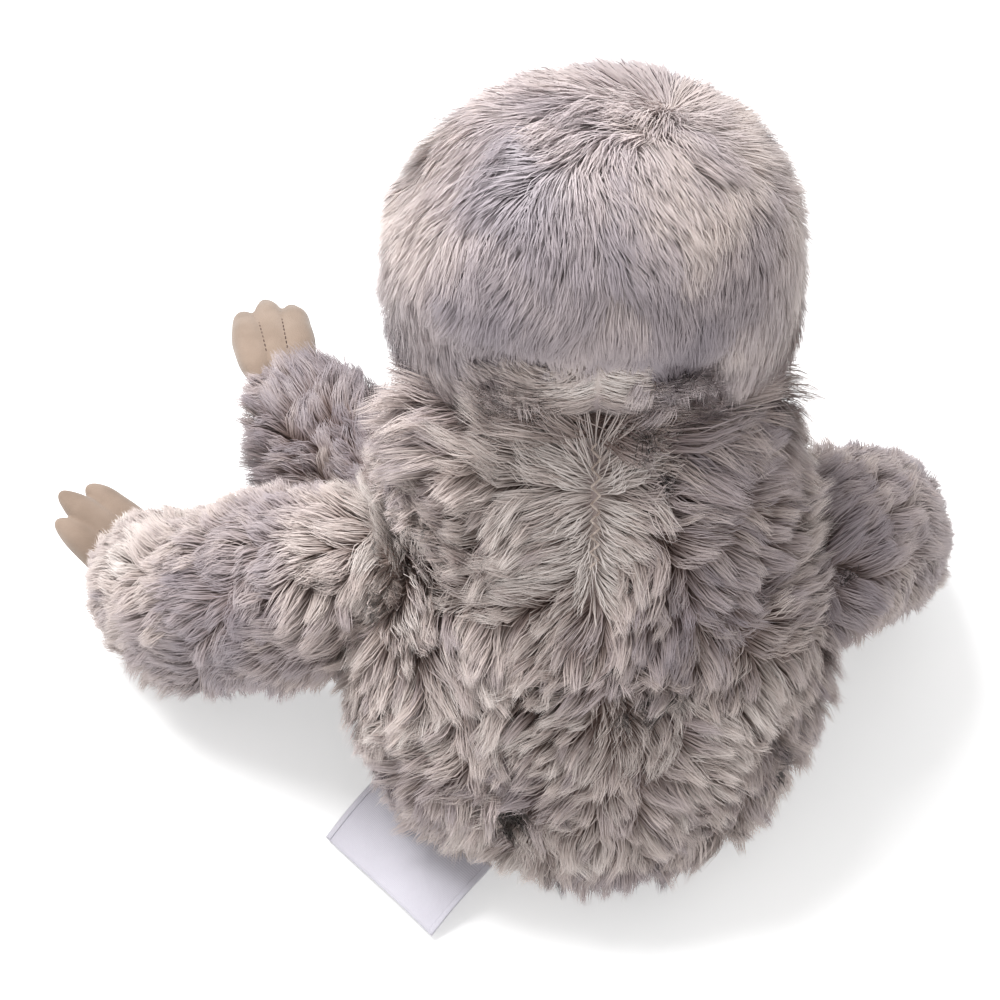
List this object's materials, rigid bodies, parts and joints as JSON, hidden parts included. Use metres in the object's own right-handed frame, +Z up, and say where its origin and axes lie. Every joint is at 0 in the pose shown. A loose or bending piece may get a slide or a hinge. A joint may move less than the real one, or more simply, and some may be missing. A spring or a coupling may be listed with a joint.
{
  "type": "plush sloth",
  "caption": "Seated long-haired plush sloth with cream claw mitts, a pale face and a sewn label; soft sewn neck, shoulders and hips.",
  "frame": {"origin": "middle of the flat seat, on the surface that the toy sits on", "axes": "+Z up, the face looks along -Y, +X is the left side of the toy"},
  "size_m": [0.2624, 0.2159, 0.23],
  "materials": {
    "long_pile": "long combed pile, taupe grey with pale tips and brown roots",
    "face_pile": "short cream pile",
    "patch_pile": "short dark brown pile",
    "claw_cloth": "smooth cream beige short plush with stitched finger lines",
    "filling": "white fibre filling",
    "bag_cloth": "plain woven bag filled with pellets",
    "eye_plastic": "polished black",
    "nose_plastic": "satin dark brown",
    "washer_plastic": "moulded white",
    "dark_thread": "twisted dark brown thread",
    "pale_thread": "twisted pale thread",
    "label_satin": "white woven satin, bare"
  },
  "bodies": {
    "torso": {"torso_back_left": "long_pile", "torso_back_right": "long_pile", "torso_belly": "long_pile", "torso_base": "long_pile", "torso_stuffing": "filling", "pellet_bag": "bag_cloth", "back_seam_thread": "pale_thread"},
    "neck": {"neck_stuffing": "filling"},
    "head": {"head_back_left": "long_pile", "head_back_right": "long_pile", "head_front": "long_pile", "face_mask": "face_pile", "head_stuffing": "filling", "left_eye_patch": "patch_pile", "right_eye_patch": "patch_pile", "left_eye": "eye_plastic", "right_eye": "eye_plastic", "left_eye_washer": "washer_plastic", "right_eye_washer": "washer_plastic", "nose": "nose_plastic", "nose_washer": "washer_plastic", "mouth_stitch": "dark_thread"},
    "label": {"sewn_label": "label_satin"},
    "left_arm": {"left_arm_outer_panel": "long_pile", "left_arm_inner_panel": "long_pile", "left_arm_stuffing": "filling", "left_arm_claws": "claw_cloth"},
    "right_arm": {"right_arm_outer_panel": "long_pile", "right_arm_inner_panel": "long_pile", "right_arm_stuffing": "filling", "right_arm_claws": "claw_cloth"},
    "left_leg": {"left_leg_outer_panel": "long_pile", "left_leg_inner_panel": "long_pile", "left_leg_stuffing": "filling", "left_leg_claws": "claw_cloth"},
    "right_leg": {"right_leg_outer_panel": "long_pile", "right_leg_inner_panel": "long_pile", "right_leg_stuffing": "filling", "right_leg_claws": "claw_cloth"}
  },
  "joints": [
    {"name": "neck_nod", "type": "hinge", "parent": "torso", "child": "neck", "pos_m": [0, -0.02469, 0.15898], "axis": [1, 0, 0], "range_deg": [-12, 18], "stiffness_Nm_per_rad": 0.6},
    {"name": "head_turn", "type": "hinge", "parent": "neck", "child": "head", "pos_m": [0, -0.02469, 0.15898], "axis": [0, 0, 1], "range_deg": [-25, 25], "stiffness_Nm_per_rad": 0.4},
    {"name": "left_shoulder", "type": "hinge", "parent": "torso", "child": "left_arm", "pos_m": [0.036, -0.014, 0.113], "axis": [1, 0, 0], "range_deg": [-50, 0], "stiffness_Nm_per_rad": 0.25},
    {"name": "right_shoulder", "type": "hinge", "parent": "torso", "child": "right_arm", "pos_m": [-0.036, -0.014, 0.113], "axis": [1, 0, 0], "range_deg": [-50, 0], "stiffness_Nm_per_rad": 0.25},
    {"name": "left_hip", "type": "hinge", "parent": "torso", "child": "left_leg", "pos_m": [0.028, -0.02, 0.027], "axis": [-1, 0, 0], "range_deg": [0, 20], "stiffness_Nm_per_rad": 0.3},
    {"name": "right_hip", "type": "hinge", "parent": "torso", "child": "right_leg", "pos_m": [-0.028, -0.02, 0.027], "axis": [-1, 0, 0], "range_deg": [0, 20], "stiffness_Nm_per_rad": 0.3},
    {"name": "label_flap", "type": "hinge", "parent": "torso", "child": "label", "pos_m": [0.0425, 0.02136, 0.012], "axis": [0.682, -0.7314, 0], "range_deg": [0, 35]}
  ]
}
